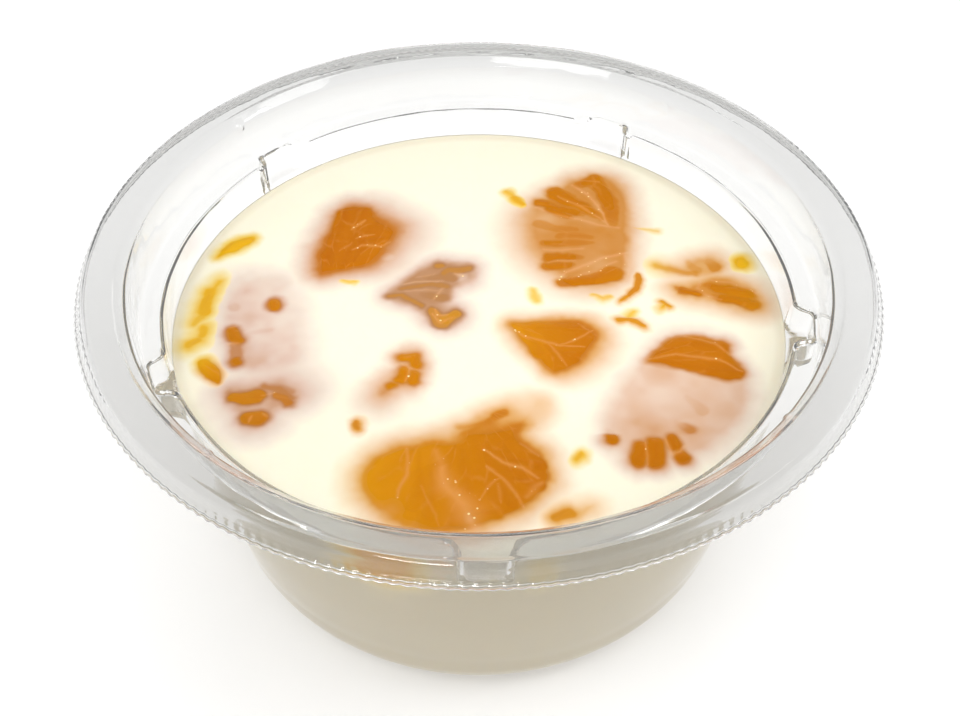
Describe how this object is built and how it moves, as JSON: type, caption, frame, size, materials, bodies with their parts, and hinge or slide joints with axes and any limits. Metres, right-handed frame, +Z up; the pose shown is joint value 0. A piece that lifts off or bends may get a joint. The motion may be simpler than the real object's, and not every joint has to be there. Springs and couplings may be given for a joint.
{
  "type": "milk jelly",
  "caption": "Set milk jelly with mandarin segments and loose juice sacs sunk into its surface, in a round clear cup with a flared rim and stacking lugs.",
  "frame": {"origin": "centre of the cup's flat base", "axes": "+Z up through the cup's axis; -Y towards the front, where the largest mandarin segment leans on the wall; +X to the right seen from the front"},
  "size_m": [0.129, 0.129, 0.0635],
  "materials": {
    "clear_plastic": "clear thin formed plastic, glossy",
    "milk_jelly": "cream white set milk, smooth and moist",
    "mandarin": "moist peeled mandarin flesh",
    "juice_sac": "moist yellow-orange juice sacs"
  },
  "bodies": {
    "root": {"cup": "clear_plastic", "milk_jelly": "milk_jelly", "mandarin_back_left": "mandarin", "mandarin_back_right": "mandarin", "mandarin_right_band": "mandarin", "mandarin_right_strip": "mandarin", "mandarin_middle_right": "mandarin", "mandarin_front_right": "mandarin", "mandarin_front": "mandarin", "mandarin_middle_pulp": "mandarin", "mandarin_middle_bit": "mandarin", "mandarin_left": "mandarin", "mandarin_front_left": "mandarin", "mandarin_front_scrap": "mandarin", "juice_sac_right": "juice_sac", "juice_sacs_left": "juice_sac", "juice_sac_front_left": "juice_sac", "juice_sac_back_left": "juice_sac"}
  },
  "joints": []
}
